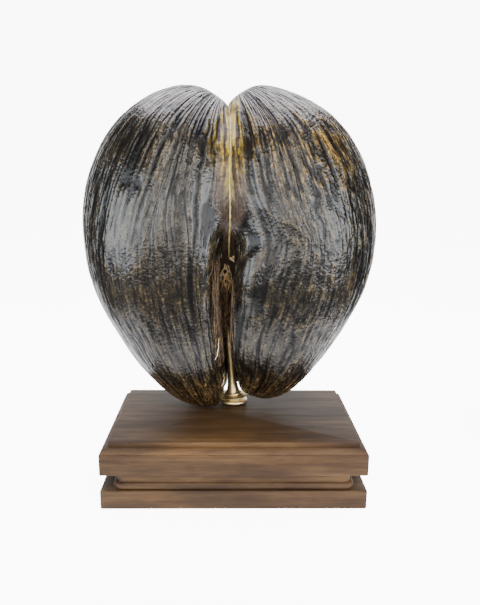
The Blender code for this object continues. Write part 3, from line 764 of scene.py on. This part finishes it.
def net_strands(draw):
    """Ochre net with holes, a narrow diamond on the furrow's floor; its pale tone is partly
    painted light against the shade of the lips.
    """
    for index in range(NET_COUNT):
        start = draw(0.0, 0.72)
        length = draw(0.18, 0.55)
        place = draw(-1.0, 1.0)
        turn = draw(-0.9, 0.9)
        lift = draw(0.5, 3.4)
        path = []
        for part in shares(18):
            down = min(start + length * part, 1.12)
            half = NET_HALF_WIDTH * sin(pi * (0.10 + 0.72 * down)) ** 0.9
            x = NET_X + half * max(min(place + turn * part, 1.05), -1.05)
            z = NET_TOP - NET_HEIGHT * down
            for hole_x, hole_z, radius in NET_HOLES:
                away = hypot(x - hole_x, z - hole_z)
                if away < radius:
                    push = (radius - away) / max(away, 0.3)
                    x += (x - hole_x) * push
                    z += (z - hole_z) * push
            height = max(z, BRIDGE_FOOT)
            path.append(floor_place(x, height, lift + 0.5 * sin(6.0 * part + index)))
        # Pale tone: partly the net's own ochre, partly painted light against the shade of the
        # lips
        yield strand(path, draw(0.20, 0.42), draw(0.66, 1.05))


def hanging_strands(draw):
    """Dark strands that hang across the opening in front of the stem."""
    for index in range(HANGING_COUNT):
        x_start = draw(-13.5, 7.5)
        drift = draw(-3.5, 3.5) - 0.18 * x_start
        length = draw(16.0, 52.0)
        start = floor_place(x_start * 0.8, draw(164.0, 178.0), draw(0.8, 4.5))
        path = []
        for part in shares(10):
            sway = 1.1 * sin(5.0 * part + index)
            across = drift * part * part + sway * part
            path.append(start + Vector((across * MM, 3.0 * MM * part, -length * part * MM)))
        tone = draw(0.02, 0.42) + (0.30 if index % 9 == 0 else 0.0)
        yield strand(path, draw(0.18, 0.42), tone)


def wall_strands(draw, surface, side, count, low, high):
    """Strands that run down a lobe's inner face beside the opening."""
    for index in range(count):
        angle = radians(draw(-168.0, -138.0))
        top = draw(low + 20.0, high)
        length = draw(14.0, 46.0)
        sway = draw(-0.22, 0.22)
        path = []
        for part in shares(10):
            turn = angle + sway * part + 0.02 * sin(7.0 * part + index)
            lift = 0.35 + 0.6 * sin(pi * part)
            path.append(lobe_place(surface, side, turn, max(top - length * part, low), lift))
        tone = 0.38 * draw(0.0, 1.0) ** 1.4
        yield strand(path, draw(0.16, 0.36), tone)


def tuft_strands(draw, x_mid, z_mid, spread, count):
    """Small pale tuft on the furrow's floor, pale partly by its own colour and partly as painted
    light for the dim opening.
    """
    for _ in range(count):
        x = x_mid + draw(-spread, spread)
        z = z_mid + draw(-1.8, 1.8)
        turn = draw(-1.0, 1.0)
        path = []
        for part in shares(7):
            path.append(floor_place(x + 3.4 * part * cos(turn),
                                    z + 2.4 * part * sin(turn) - 1.2 * part * part,
                                    0.6 + 2.6 * sin(pi * part * 0.8)))
        yield strand(path, draw(0.20, 0.34), draw(0.8, 1.1))


def wisp(surface, side, places, thick):
    """Single hair over a lobe through ring angles in degrees, heights and lifts."""
    at = np.linspace(0.0, len(places) - 1.0, 14)
    lines = zip(*(spline(values, at) for values in zip(*places)))
    path = [lobe_place(surface, side, radians(angle), height, lift)
            for angle, height, lift in lines]
    return strand(path, thick, WISP_TONE)


def fibre_piece(left, right):
    """Dry fibres: a net at the opening, strands below it, on its walls and loose."""
    draw = np.random.default_rng(FIBRE_SEED).uniform
    strands = [*net_strands(draw), *hanging_strands(draw)]
    strands += wall_strands(draw, left, -1, *LEFT_WALL)
    strands += wall_strands(draw, right, 1, *RIGHT_WALL)
    for tuft in TUFTS:
        strands += tuft_strands(draw, *tuft)
    strands += [wisp(left, -1, places, thick) for places, thick in WISPS]
    return strands_piece("fibre_tuft", strands)


def turned_piece(name, profile, leaning):
    """Piece turned from a profile of radius and height above the panel."""
    sides = TURNED_SIDES
    points = []
    for radius, height in profile:
        for side in range(sides):
            angle = 2.0 * pi * side / sides
            points.append((radius * cos(angle), radius * sin(angle), height))
    top = len(points) - sides
    faces = band_faces(len(profile), sides)
    faces += [tuple(reversed(range(sides))), tuple(range(top, len(points)))]
    piece = mesh_piece(name, points, faces)
    place = Matrix.Translation((STEM_X, STEM_Y, PANEL_TOP))
    if leaning:
        place = place @ Matrix.Rotation(-STEM_LEAN, 4, "Y")
    piece.data.transform(place)
    piece.data.set_sharp_from_angle(angle=radians(40))
    return piece


def smooth_profile(outline, per_span=4):
    """More points on a smooth curve through an outline."""
    at = np.linspace(0.0, len(outline) - 1.0, (len(outline) - 1) * per_span + 1)
    return list(zip(*(spline(values, at) for values in zip(*outline))))


def brass_pieces():
    low = FIT_GAP + BEAD_LOW
    high = FIT_GAP + BEAD_HIGH
    middle = (low + high) / 2.0
    half = (high - low) / 2.0
    profile = [(RING_FOOT_RADIUS, FIT_GAP), (RING_NECK_RADIUS, FIT_GAP + RING_EDGE),
               (RING_NECK_RADIUS, low)]
    for step in range(BEAD_STEPS + 1):
        angle = -pi / 2.0 + pi * step / BEAD_STEPS
        profile.append((BEAD_RADIUS + half * cos(angle), middle + half * sin(angle)))
    profile += [(RING_NECK_RADIUS, high), (RING_NECK_RADIUS, high + RING_EDGE)]
    ring = turned_piece("ring_turned", profile, False)
    foot = high + RING_EDGE + FIT_GAP + STEM_FOOT_RADIUS * sin(STEM_LEAN)
    outline = smooth_profile(STEM_RIM)[:-1] + smooth_profile(STEM_SHAFT)
    profile = [(radius * MM, foot + height * MM) for radius, height in outline]
    profile += [(STEM_END_RADIUS, STEM_TOP - STEM_END_EDGE),
                (STEM_END_RADIUS - STEM_END_EDGE, STEM_TOP)]
    return ring, turned_piece("stem_turned", profile, True)


def board_piece(name, levels, corner_radius, corner_steps):
    """Board from stacked outlines of inset across, inset in depth, height."""
    points = []
    for inset_x, inset_y, height in levels:
        half_x = PLINTH_WIDTH / 2.0 - inset_x
        half_y = PLINTH_DEPTH / 2.0 - inset_y
        for quarter, (sign_x, sign_y) in enumerate(((1, 1), (-1, 1), (-1, -1), (1, -1))):
            centre_x = sign_x * (half_x - corner_radius)
            centre_y = sign_y * (half_y - corner_radius)
            for step in range(corner_steps + 1):
                angle = (quarter + step / corner_steps) * pi / 2.0
                points.append((centre_x + corner_radius * cos(angle),
                               centre_y + corner_radius * sin(angle), height))
    around = 4 * (corner_steps + 1)
    top = len(points) - around
    faces = [tuple(reversed(range(around))), *band_faces(len(levels), around),
             tuple(range(top, len(points)))]
    piece = mesh_piece(name, points, faces)
    piece.data.set_sharp_from_angle(angle=radians(24))
    return piece


def quarter_arc(centre_inset, centre_height, radius, start, end, steps=3):
    """Levels along an arc, angles from straight out, both insets alike."""
    levels = []
    for step in range(steps + 1):
        angle = start + (end - start) * step / steps
        inset = centre_inset - radius * cos(angle)
        levels.append((inset, inset, centre_height + radius * sin(angle)))
    return levels


def plinth_pieces():
    ease = BOARD_EASE
    quarter = pi / 2.0
    face_top = TOP_LOW - FIT_GAP + TOP_FACE_HEIGHT
    levels = quarter_arc(ease, TOP_LOW + ease, ease, -quarter, 0.0)
    levels += quarter_arc(ease, face_top - ease, ease, 0.0, quarter)
    reach = PANEL_INSET - ease
    for step in range(1, ARC_STEPS + 1):
        angle = quarter * step / ARC_STEPS
        inset = ease + reach * (1.0 - cos(angle))
        levels.append((inset, inset, face_top + OVOLO_HEIGHT * sin(angle)))
    small = ease * 0.6
    levels += quarter_arc(PANEL_INSET + small, PANEL_TOP - small, small, 0.0, quarter)
    top = board_piece("board_top", levels, TOP_CORNER_RADIUS, 4)
    bead = NECK_BEAD_HEIGHT / 2.0
    edge = []
    for step in range(ARC_STEPS + 1):
        angle = -quarter + pi * step / ARC_STEPS
        edge.append((bead * (1.0 - cos(angle)) * NECK_BEAD_FLATNESS,
                     NECK_LOW + bead + bead * sin(angle)))
    edge += [(NECK_COVE, NECK_LOW + NECK_BEAD_HEIGHT + NECK_QUIRK), (NECK_COVE, NECK_TOP)]
    levels = [(NECK_INSET_SIDE + back, NECK_INSET_FRONT + back, height) for back, height in edge]
    neck = board_piece("board_neck", levels, NECK_CORNER_RADIUS, 8)
    return top, neck


class Shader:
    """Material or world with its main shader and short ways to add nodes."""

    def __init__(self, name, collection=bpy.data.materials, main="Principled BSDF"):
        self.owner = collection.new(name)
        self.owner.use_nodes = True
        self.nodes = self.owner.node_tree.nodes
        self.main = self.nodes[main]

    def feed(self, node, items):
        """Give a node's inputs their links or values."""
        for name, item in items.items():
            socket = node.inputs[name]
            if isinstance(item, bpy.types.NodeSocket):
                self.owner.node_tree.links.new(item, socket)
            elif socket.type == "RGBA":
                socket.default_value = (*item, 1.0)
            else:
                socket.default_value = item

    def add(self, kind, items=None, **settings):
        node = self.nodes.new(kind)
        for name, value in settings.items():
            setattr(node, name, value)
        self.feed(node, items or {})
        return node

    def place(self, scale=(1.0, 1.0, 1.0), uv=False):
        """Object or flow coordinates, stretched by a scale."""
        if uv:
            source = self.add("ShaderNodeUVMap", uv_map="flow").outputs["UV"]
        else:
            source = self.add("ShaderNodeTexCoord").outputs["Object"]
        return self.add("ShaderNodeMapping", {"Scale": scale, "Vector": source}).outputs[0]

    def noise(self, scale, detail=3.0, rough=0.55, stretch=(1.0, 1.0, 1.0), uv=False):
        items = {"Vector": self.place(stretch, uv), "Scale": scale, "Detail": detail,
                 "Roughness": rough}
        return self.add("ShaderNodeTexNoise", items).outputs["Fac"]

    def value(self, label):
        return self.add("ShaderNodeAttribute", attribute_name=label).outputs["Fac"]

    def ramp(self, source, stops):
        node = self.add("ShaderNodeValToRGB", {"Fac": source})
        elements = node.color_ramp.elements
        while len(elements) < len(stops):
            elements.new(0.5)
        for element, (position, colour) in zip(elements, stops):
            element.position = position
            element.color = (*colour, 1.0)
        return node.outputs["Color"]

    def math(self, operation, first, second=0.0, clamp=False):
        node = self.add("ShaderNodeMath", {0: first, 1: second}, operation=operation)
        node.use_clamp = clamp
        return node.outputs["Value"]

    def times(self, first, second, clamp=False):
        return self.math("MULTIPLY", first, second, clamp)

    def plus(self, first, second, clamp=False):
        return self.math("ADD", first, second, clamp)

    def mix(self, share, first, second, blend="MIX"):
        node = self.add("ShaderNodeMix", data_type="RGBA", blend_type=blend)
        self.feed(node, {0: share, 6: first, 7: second})
        return node.outputs[2]

    def tint(self, colour, factor, share=1.0):
        """Colour times a factor."""
        return self.mix(share, colour, factor, "MULTIPLY")

    def remap(self, source, low, high, to_low=0.0, to_high=1.0, kind="LINEAR"):
        node = self.add("ShaderNodeMapRange", interpolation_type=kind)
        self.feed(node, {"Value": source, "From Min": low, "From Max": high,
                         "To Min": to_low, "To Max": to_high})
        return node.outputs["Result"]

    def bump(self, height, distance, strength=1.0, under=None):
        node = self.add("ShaderNodeBump", {"Height": height, "Distance": distance,
                                           "Strength": strength})
        if under is not None:
            self.feed(node, {"Normal": under})
        return node.outputs["Normal"]

    def split(self, vector):
        return self.add("ShaderNodeSeparateXYZ", {"Vector": vector}).outputs

    def seen_at_least(self, light, level):
        """Brightness that the camera itself sees at a level or more."""
        seen = self.add("ShaderNodeLightPath").outputs["Is Camera Ray"]
        return self.math("MAXIMUM", light, self.times(seen, level))

    def finish(self, items):
        """Feed the main shader."""
        self.feed(self.main, items)
        return self.owner


def shell_material():
    mat = Shader("shell_varnished")
    ridge = mat.value("ridge")
    streak = mat.noise(1.0, 3.0, 0.6, (0.60, 0.045, 1.0), True)
    fine = mat.noise(1.0, 2.0, 0.5, (1.1, 0.20, 1.0), True)
    crackle = mat.noise(400.0, 1.0, 0.5)
    pits = mat.noise(680.0, 1.0, 0.5)
    broad = mat.noise(26.0)
    height = mat.plus(mat.times(ridge, 0.75), mat.times(streak, 0.45))
    height = mat.plus(height, mat.times(fine, 0.35))
    height = mat.plus(height, mat.times(crackle, 0.35))
    level = mat.remap(height, 0.75, 1.33)

    # Bark with specks, grey clouds, gold tint and brown tips
    colour = mat.ramp(level, SHELL_TONES)
    colour = mat.tint(colour, mat.remap(pits, 0.35, 0.65, 0.35, 1.55))
    grey = mat.tint(colour, (0.60, 0.60, 0.58), 0.7)
    colour = mat.mix(mat.remap(broad, 0.42, 0.62, 0.0, 0.8), colour, grey)
    gilt = mat.times(mat.value("gold"), mat.remap(streak, 0.40, 0.60, 0.15, 1.0), True)
    colour = mat.mix(gilt, colour, mat.tint(colour, (3.4, 2.8, 1.35)))
    colour = mat.mix(mat.value("tip"), colour, mat.tint(colour, (3.3, 2.8, 2.4)))

    # Smooth floor of the furrow, and the amber stain over it
    smooth = mat.mix(mat.remap(fine, 0.35, 0.7), SHELL_FLOOR_DARK, SHELL_FLOOR_PALE)
    on_floor = mat.remap(mat.value("floor_share"), 0.3, 1.0, 0.0, 0.8)
    colour = mat.mix(on_floor, colour, smooth)
    amber = mat.mix(mat.remap(level, 0.25, 0.85), AMBER_DARK, AMBER_PALE)
    stain = mat.times(mat.value("stain"), mat.remap(broad, 0.30, 0.60, 0.55, 1.25))
    stain = mat.times(stain, mat.remap(streak, 0.38, 0.60, 0.25, 1.3), True)
    colour = mat.mix(stain, colour, amber)

    # Varnish: full on the crests, thin in the grooves and on the stain
    gloss = mat.times(mat.remap(ridge, 0.36, 0.64, 0.36, 1.0),
                      mat.remap(streak, 0.34, 0.48, 0.66, 1.0))
    gloss = mat.times(gloss, mat.remap(stain, 0.0, 1.0, 1.0, 0.35))
    cloud = mat.plus(crackle, mat.times(mat.value("patch"), 0.3))
    coarse = mat.remap(mat.value("coarse"), 0.0, 1.0, 1.0, 1.7)
    coat = mat.bump(fine, 0.00012)
    coat = mat.bump(mat.times(crackle, coarse), 0.00034, 1.0, coat)
    coat = mat.bump(mat.times(pits, coarse), 0.00020, 1.0, coat)
    return mat.finish({
        "Base Color": colour,
        "Roughness": mat.remap(cloud, 0.35, 0.95, 0.60, 0.38),
        "Normal": mat.bump(height, 0.0010),
        "Specular IOR Level": 0.1,
        "Coat Weight": gloss,
        "Coat Roughness": 0.12,
        "Coat Normal": coat,
    })


def grained_material(name, scale, tones, rough, smooth, relief, metallic=0.0):
    """Material whose colour, roughness and bump follow one noise."""
    mat = Shader(name)
    grain = mat.noise(scale)
    return mat.finish({
        "Base Color": mat.ramp(grain, tones),
        "Roughness": mat.remap(grain, 0.3, 0.7, rough, smooth),
        "Normal": mat.bump(grain, relief),
        "Metallic": metallic,
    })


def fibre_material():
    mat = Shader("fibre_dry")
    grain = mat.noise(300.0)
    tone = mat.plus(mat.value("tone"), mat.remap(grain, 0.3, 0.7, -0.16, 0.16), True)
    return mat.finish({
        # Colour of the fibres with painted light: the ramp is paler than the fibres to make up
        # for the dim light in the opening
        "Base Color": mat.ramp(tone, FIBRE_TONES_AND_PAINTED_LIGHT),
        "Roughness": mat.remap(grain, 0.3, 0.7, 0.7, 0.45),
        "Normal": mat.bump(grain, 0.0002),
    })


def brass_material():
    mat = Shader("brass_polished")
    turning = mat.noise(42.0, stretch=(1.0, 1.0, 38.0))
    cloud = mat.noise(140.0)
    return mat.finish({
        "Base Color": mat.ramp(cloud, BRASS_TONES),
        "Roughness": mat.remap(cloud, 0.3, 0.7, 0.46, 0.32),
        "Normal": mat.bump(turning, 0.00006, 0.5),
        "Metallic": 1.0,
    })


def wood_material():
    mat = Shader("wood_stained")
    grain = mat.noise(1.0, 5.0, 0.62, (9.0, 130.0, 160.0))
    pores = mat.noise(1.0, 2.0, 0.5, (70.0, 900.0, 900.0))
    bands = mat.noise(1.0, 3.0, 0.5, (4.0, 22.0, 30.0))
    mottle = mat.noise(1.0, stretch=(12.0, 34.0, 46.0))
    level = mat.plus(mat.times(grain, 0.5), mat.times(bands, 0.5))
    colour = mat.ramp(mat.remap(level, 0.40, 0.62), WOOD_TONES)
    for source, limits, factor in ((pores, (0.58, 0.72, 0.0, 0.6), (0.50, 0.44, 0.38)),
                                   (mottle, (0.44, 0.62, 0.0, 0.9), (0.54, 0.46, 0.42)),
                                   (mottle, (0.30, 0.42, 0.8, 0.0), (1.55, 1.45, 1.30))):
        colour = mat.mix(mat.remap(source, *limits), colour, mat.tint(colour, factor))
    normal = mat.bump(mottle, 0.0010)
    normal = mat.bump(grain, 0.00025, 0.5, normal)
    return mat.finish({
        "Base Color": colour,
        "Roughness": mat.remap(level, 0.4, 0.7, 0.58, 0.46),
        "Normal": mat.bump(pores, 0.0002, 0.5, normal),
        "Specular IOR Level": 0.12,
        "Coat Weight": 0.22,
        "Coat Roughness": 0.60,
    })


def floor_material():
    """White floor near the object that falls off to grey in front and beside it."""
    mat = Shader("floor_white")
    x, y, _ = mat.split(mat.place())
    behind = mat.math("MAXIMUM", mat.math("SUBTRACT", y, 0.12))
    beside = mat.math("SUBTRACT", mat.math("ABSOLUTE", x), mat.times(behind, 0.9))
    pale = mat.times(mat.remap(beside, 0.23, 0.31, 1.0, 0.0), mat.remap(y, -0.205, -0.165))
    glow = mat.times(pale, FLOOR_GLOW)
    return mat.finish({
        "Base Color": mat.mix(pale, FLOOR_FAR, FLOOR_NEAR),
        "Roughness": 0.6,
        "Emission Color": (1.0, 1.0, 1.0),
        "Emission Strength": mat.seen_at_least(glow, FLOOR_GLOW_SEEN),
    })


def paint(piece, material):
    piece.data.materials.clear()
    piece.data.materials.append(material)


def dress(piece, material, slot, *nodes):
    """Give a piece its material and its place in the frame."""
    paint(piece, material)
    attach(piece, BODY)
    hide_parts(*nodes)


def add_area(name, azimuth, elevation, distance, size_x, size_y, radiance, colour):
    """Soft box that faces the nut from a direction; radiance is its brightness."""
    light = bpy.data.lights.new(name, "AREA")
    light.shape = "RECTANGLE"
    light.size = size_x
    light.size_y = size_y
    light.energy = radiance * pi * size_x * size_y
    light.color = colour
    azimuth = radians(azimuth)
    elevation = radians(elevation)
    level = cos(elevation)
    way = Vector((sin(azimuth) * level, -cos(azimuth) * level, sin(elevation)))
    item = bpy.data.objects.new(name, light)
    item.location = NUT_CENTRE + way * distance
    item.rotation_euler = (-way).to_track_quat("-Z", "Y").to_euler()
    bpy.context.scene.collection.objects.link(item)


def add_world():
    """Grey room with a white wall of light behind the object, seen as white all round."""
    room = Shader("studio", bpy.data.worlds, "Background")
    back = room.split(room.add("ShaderNodeTexCoord").outputs["Generated"])["Y"]
    light = room.remap(back, WHITE_WALL_START, WHITE_WALL_FULL, ROOM_RADIANCE,
                       WALL_RADIANCE, "SMOOTHSTEP")
    bpy.context.scene.world = room.finish({
        "Color": (1.0, 1.0, 1.0),
        "Strength": room.seen_at_least(light, WHITE_SEEN),
    })


def add_stage():
    corners = [(x * FLOOR_REACH, y * FLOOR_REACH, 0.0)
               for x, y in ((-1, -1), (1, -1), (1, 1), (-1, 1))]
    floor = mesh_piece("floor", corners, [(0, 1, 2, 3)])
    paint(floor, floor_material())
    add_world()
    for box in SOFT_BOXES:
        add_area(*box)


def add_camera():
    pitch_cos = cos(CAMERA_PITCH)
    ahead = Vector((-sin(CAMERA_YAW) * pitch_cos, cos(CAMERA_YAW) * pitch_cos,
                    -sin(CAMERA_PITCH)))
    level = Vector((cos(CAMERA_YAW), sin(CAMERA_YAW), 0.0))
    upright = level.cross(ahead)
    right = level * cos(CAMERA_ROLL) + upright * sin(CAMERA_ROLL)
    up = upright * cos(CAMERA_ROLL) - level * sin(CAMERA_ROLL)
    place = Matrix((right, up, -ahead)).transposed().to_4x4()
    place.translation = CAMERA_PLACE
    data = bpy.data.cameras.new("camera")
    data.sensor_width = SENSOR
    data.lens = FOCAL_PIXELS / max(IMAGE_WIDTH, IMAGE_HEIGHT) * SENSOR
    data.clip_start = 0.01
    camera = bpy.data.objects.new("camera", data)
    camera.matrix_world = place
    bpy.context.scene.collection.objects.link(camera)
    bpy.context.scene.camera = camera


shell = shell_material()
seam = grained_material("seam_olive", 260.0, SEAM_TONES, 0.5, 0.3, 0.0003)
fibre = fibre_material()
brass = brass_material()
wood = wood_material()
steel = grained_material("steel_plain", 320.0, STEEL_TONES, 0.42, 0.28, 0.00005, 1.0)
right_lobe = lobe_surface(RIGHT_LOBE, RIGHT_INNER_SQUARENESS, RIGHT_FOLD, RIGHT_LIP,
                          RIGHT_LUMPY, RIGHT_SEED)
left_lobe = lobe_surface(LEFT_LOBE, LEFT_INNER_SQUARENESS, LEFT_FOLD, LEFT_LIP,
                         LEFT_LUMPY, LEFT_SEED)
dress(shell_piece("shell_right", 1, right_lobe), shell, "nut_shell", "coco_nut")
dress(shell_piece("shell_left", -1, left_lobe), shell, "nut_shell", "coco_nut")
dress(seam_piece(), seam, "nut_shell", "coco_nut")
dress(fibre_piece(left_lobe, right_lobe), fibre, "dry_fibre", "germ_fibres")
ring_turned, stem_turned = brass_pieces()
dress(ring_turned, brass, "polished_brass", "brass_ring")
dress(stem_turned, brass, "polished_brass", "brass_stem")
board_top, board_neck = plinth_pieces()
dress(board_top, wood, "stained_wood", "plinth_top")
dress(board_neck, wood, "stained_wood", "plinth_neck")
paint(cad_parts["plinth_bottom"], wood)
for fixing in ("threaded_rod", "fixing_washer", "fixing_nut"):
    paint(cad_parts[fixing], steel)
add_stage()
add_camera()
